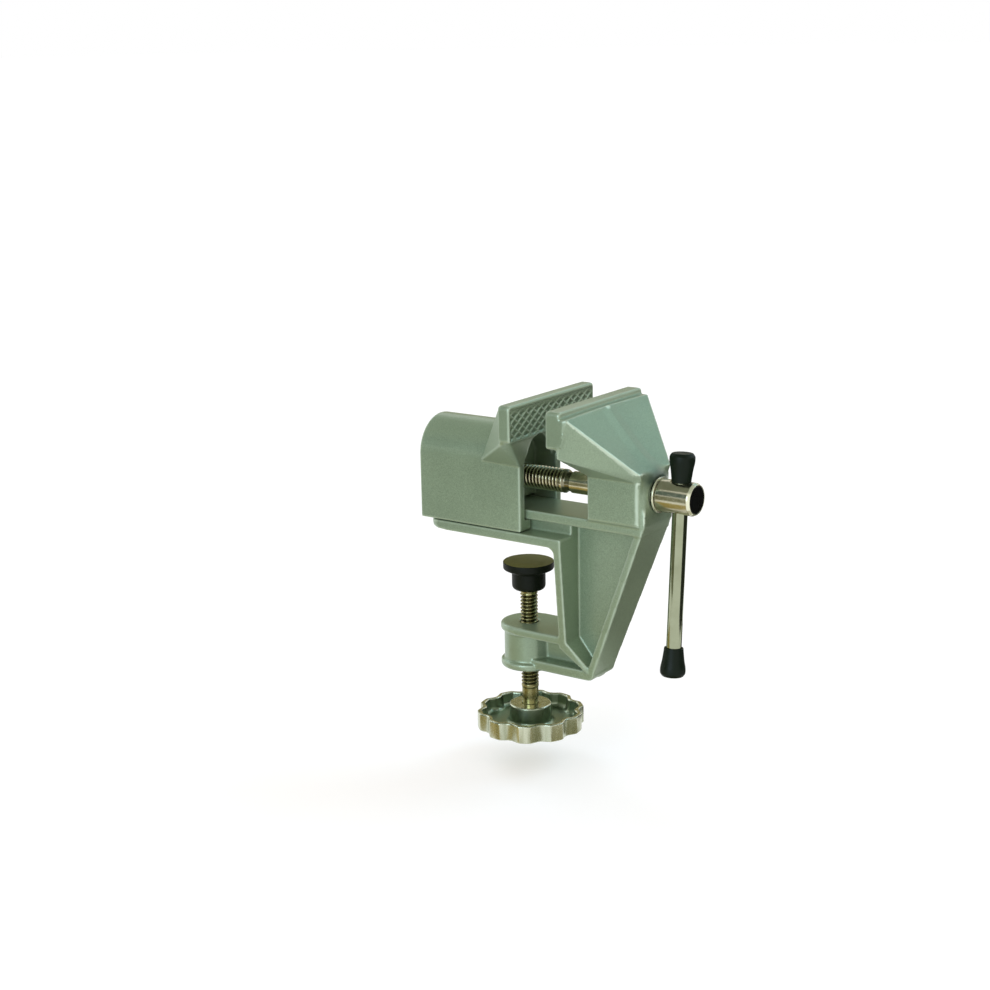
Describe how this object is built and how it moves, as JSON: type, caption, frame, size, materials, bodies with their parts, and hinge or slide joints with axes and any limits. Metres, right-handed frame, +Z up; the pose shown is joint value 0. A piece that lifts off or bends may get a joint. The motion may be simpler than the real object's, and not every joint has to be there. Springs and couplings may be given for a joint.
{
  "type": "mini bench vise",
  "caption": "Small table-edge vise: sliding jaw on a rail driven by a screw with a sliding tommy bar, and a screw clamp with swivel pad and lobed handwheel below.",
  "frame": {"origin": "on the bench seat under the arm, on the clamp screw's axis", "axes": "+Z up out of the bench, +X along the jaw screw towards its handle, +Y across the jaws"},
  "size_m": [0.1213, 0.06, 0.1416],
  "materials": {
    "casting_paint": "aluminium alloy die casting under a satin metallic grey-green paint",
    "plated_steel": "bright nickel plating",
    "spring_steel": "plain spring steel",
    "zinc_steel": "warm zinc plating on a cut thread",
    "wheel_casting": "bare casting, worn bright on the rim",
    "black_plug": "smooth black plastic",
    "black_cap": "soft black plastic with a low sheen",
    "black_pad": "moulded black plastic"
  },
  "bodies": {
    "frame": {"clamp_frame": "casting_paint"},
    "jaw": {"sliding_jaw": "casting_paint"},
    "screw": {"jaw_screw": "plated_steel", "thrust_washer": "plated_steel", "retaining_clip": "spring_steel", "screw_end_plug": "black_plug"},
    "handle": {"tommy_bar": "plated_steel", "bar_cap_upper": "black_cap", "bar_cap_lower": "black_cap"},
    "pad": {"clamp_pad": "black_pad"},
    "clamp_drive": {"clamp_screw": "zinc_steel", "handwheel": "wheel_casting"}
  },
  "joints": [
    {"name": "jaw_screw_turn", "type": "hinge", "parent": "frame", "child": "screw", "pos_m": [0.0706, 0, 0.0237], "axis": [1, 0, 0], "range_deg": [-3650, 6290]},
    {"name": "jaw_travel", "type": "slide", "parent": "frame", "child": "jaw", "axis": [1, 0, 0], "range_m": [-0.028, 0.0163]},
    {"name": "handle_slide", "type": "slide", "parent": "screw", "child": "handle", "axis": [0, 0.0767, 0.9971], "range_m": [0, 0.0526]},
    {"name": "clamp_travel", "type": "slide", "parent": "frame", "child": "pad", "axis": [0, 0, 1], "range_m": [-0.0134, 0.0118]},
    {"name": "clamp_screw_turn", "type": "hinge", "parent": "pad", "child": "clamp_drive", "pos_m": [0, 0, -0.05], "axis": [0, 0, 1], "range_deg": [-3180, 2800]}
  ],
  "couplings": [
    {"joint": "jaw_travel", "follows": "jaw_screw_turn", "m_per_rad": -0.00025465},
    {"joint": "clamp_travel", "follows": "clamp_screw_turn", "m_per_rad": 0.00023873}
  ]
}
